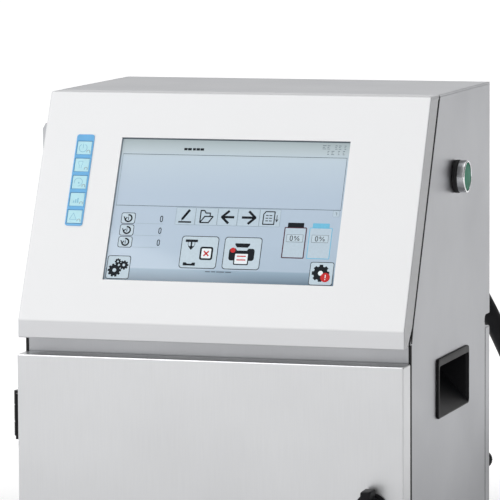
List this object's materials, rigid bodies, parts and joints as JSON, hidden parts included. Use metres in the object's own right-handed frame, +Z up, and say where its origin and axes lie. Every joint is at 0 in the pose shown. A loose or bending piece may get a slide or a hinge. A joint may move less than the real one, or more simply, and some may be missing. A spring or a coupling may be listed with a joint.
{
  "type": "date code inkjet printer",
  "caption": "Free-standing continuous inkjet coder: stainless cabinet with slanted touch-screen face, hinged ink door, side power button, umbilical hose and printhead.",
  "frame": {"origin": "on the floor under the middle of the machine's bounding box, measured without the umbilical and its printhead", "axes": "+Z up, the control face and door look towards -Y, +X is the right side seen from the front"},
  "size_m": [0.7178, 0.5157, 0.54],
  "materials": {
    "stainless": "brushed",
    "zinc_plate": "satin",
    "white_coat": "satin powder coat",
    "black_metal": "fine textured",
    "black_rubber": "matte",
    "chrome": "polished",
    "black_plastic": "fine texture",
    "keypad_blue": "satin film",
    "keypad_cyan": "satin film",
    "screen_glass": "anti-glare touch screen",
    "circuit_board": "solder resist",
    "cast_aluminium": "cast",
    "white_plastic": "moulded",
    "natural_plastic": "moulded, milky",
    "green_lens": "moulded",
    "grey_plastic": "moulded"
  },
  "bodies": {
    "cabinet": {"base_tray": "stainless", "left_side_panel": "stainless", "right_side_panel": "stainless", "top_panel": "stainless", "front_frame": "stainless", "shelf": "zinc_plate", "rear_panel": "stainless", "rear_cover": "stainless", "face_panel": "white_coat", "hinge_bracket_upper": "black_metal", "hinge_bracket_lower": "black_metal", "button_gasket": "black_rubber", "button_bezel": "chrome", "button_contact_block": "black_plastic", "right_handle": "black_plastic", "left_handle": "black_plastic", "keypad_frame": "keypad_blue", "touch_glass": "screen_glass", "lcd_module": "black_plastic", "controller_board": "circuit_board", "power_supply": "zinc_plate", "printhead_holder": "stainless", "mains_inlet": "black_plastic", "fan_frame": "black_plastic", "umbilical_gland": "black_plastic", "umbilical_hose": "black_rubber", "umbilical_coil": "black_rubber", "umbilical_tail": "black_rubber", "printhead_body": "stainless", "nozzle_block": "stainless", "ink_tank": "black_plastic", "solvent_tank": "natural_plastic", "ink_pump": "stainless", "pump_motor": "cast_aluminium", "ink_filter": "white_plastic", "valve_manifold": "cast_aluminium", "foot_front_left": "black_rubber", "foot_front_right": "black_rubber", "foot_rear_left": "black_rubber", "foot_rear_right": "black_rubber"},
    "door": {"door": "stainless", "door_gasket": "black_rubber", "hinge_leaf_upper": "black_metal", "hinge_leaf_lower": "black_metal", "latch_base": "black_metal"},
    "latch": {"latch_knob": "black_metal", "latch_cam": "zinc_plate"},
    "power_button": {"button_lens": "green_lens"},
    "key_power": {"key_power": "keypad_cyan"},
    "key_nozzle": {"key_nozzle": "keypad_cyan"},
    "key_jet": {"key_jet": "keypad_cyan"},
    "key_level": {"key_level": "keypad_cyan"},
    "key_warning": {"key_warning": "keypad_cyan"},
    "mains_switch": {"mains_switch": "grey_plastic"},
    "fan_rotor": {"fan_rotor": "black_plastic"},
    "ink_cap": {"ink_cap": "black_plastic"},
    "solvent_cap": {"solvent_cap": "keypad_cyan"},
    "rear_knob_left": {"rear_knob_left": "black_plastic"},
    "rear_knob_right": {"rear_knob_right": "black_plastic"},
    "printhead_cover": {"printhead_cover": "stainless"}
  },
  "joints": [
    {"name": "door_hinge", "type": "hinge", "parent": "cabinet", "child": "door", "pos_m": [-0.1755, -0.13435, 0.172], "axis": [0, 0, -1], "range_deg": [0, 120]},
    {"name": "latch_turn", "type": "hinge", "parent": "door", "child": "latch", "pos_m": [0.1712, -0.16035, 0.172], "axis": [0, 1, 0], "range_deg": [0, 90]},
    {"name": "power_button_press", "type": "slide", "parent": "cabinet", "child": "power_button", "axis": [-1, 0, 0], "range_m": [0, 0.003], "stiffness_N_per_m": 300},
    {"name": "key_power_press", "type": "slide", "parent": "cabinet", "child": "key_power", "axis": [0, 0.9022, -0.4313], "range_m": [0, 0.0008], "stiffness_N_per_m": 400},
    {"name": "key_nozzle_press", "type": "slide", "parent": "cabinet", "child": "key_nozzle", "axis": [0, 0.9022, -0.4313], "range_m": [0, 0.0008], "stiffness_N_per_m": 400},
    {"name": "key_jet_press", "type": "slide", "parent": "cabinet", "child": "key_jet", "axis": [0, 0.9022, -0.4313], "range_m": [0, 0.0008], "stiffness_N_per_m": 400},
    {"name": "key_level_press", "type": "slide", "parent": "cabinet", "child": "key_level", "axis": [0, 0.9022, -0.4313], "range_m": [0, 0.0008], "stiffness_N_per_m": 400},
    {"name": "key_warning_press", "type": "slide", "parent": "cabinet", "child": "key_warning", "axis": [0, 0.9022, -0.4313], "range_m": [0, 0.0008], "stiffness_N_per_m": 400},
    {"name": "mains_switch_rock", "type": "hinge", "parent": "cabinet", "child": "mains_switch", "pos_m": [0.021, 0.16215, 0.3873], "axis": [-1, 0, 0], "range_deg": [0, 16]},
    {"name": "fan_spin", "type": "hinge", "parent": "cabinet", "child": "fan_rotor", "pos_m": [-0.074, 0.15215, 0.45], "axis": [0, 1, 0], "continuous": true},
    {"name": "ink_cap_turn", "type": "hinge", "parent": "cabinet", "child": "ink_cap", "pos_m": [-0.095, -0.03935, 0.2], "axis": [0, 0, 1], "continuous": true},
    {"name": "solvent_cap_turn", "type": "hinge", "parent": "cabinet", "child": "solvent_cap", "pos_m": [0.105, -0.03935, 0.2], "axis": [0, 0, 1], "continuous": true},
    {"name": "rear_knob_left_turn", "type": "hinge", "parent": "cabinet", "child": "rear_knob_left", "pos_m": [-0.1602, 0.17465, 0.168], "axis": [0, 1, 0], "continuous": true},
    {"name": "rear_knob_right_turn", "type": "hinge", "parent": "cabinet", "child": "rear_knob_right", "pos_m": [0.1922, 0.17465, 0.168], "axis": [0, 1, 0], "continuous": true},
    {"name": "printhead_cover_pull", "type": "slide", "parent": "cabinet", "child": "printhead_cover", "axis": [0, -1, 0], "range_m": [0, 0.07]}
  ]
}
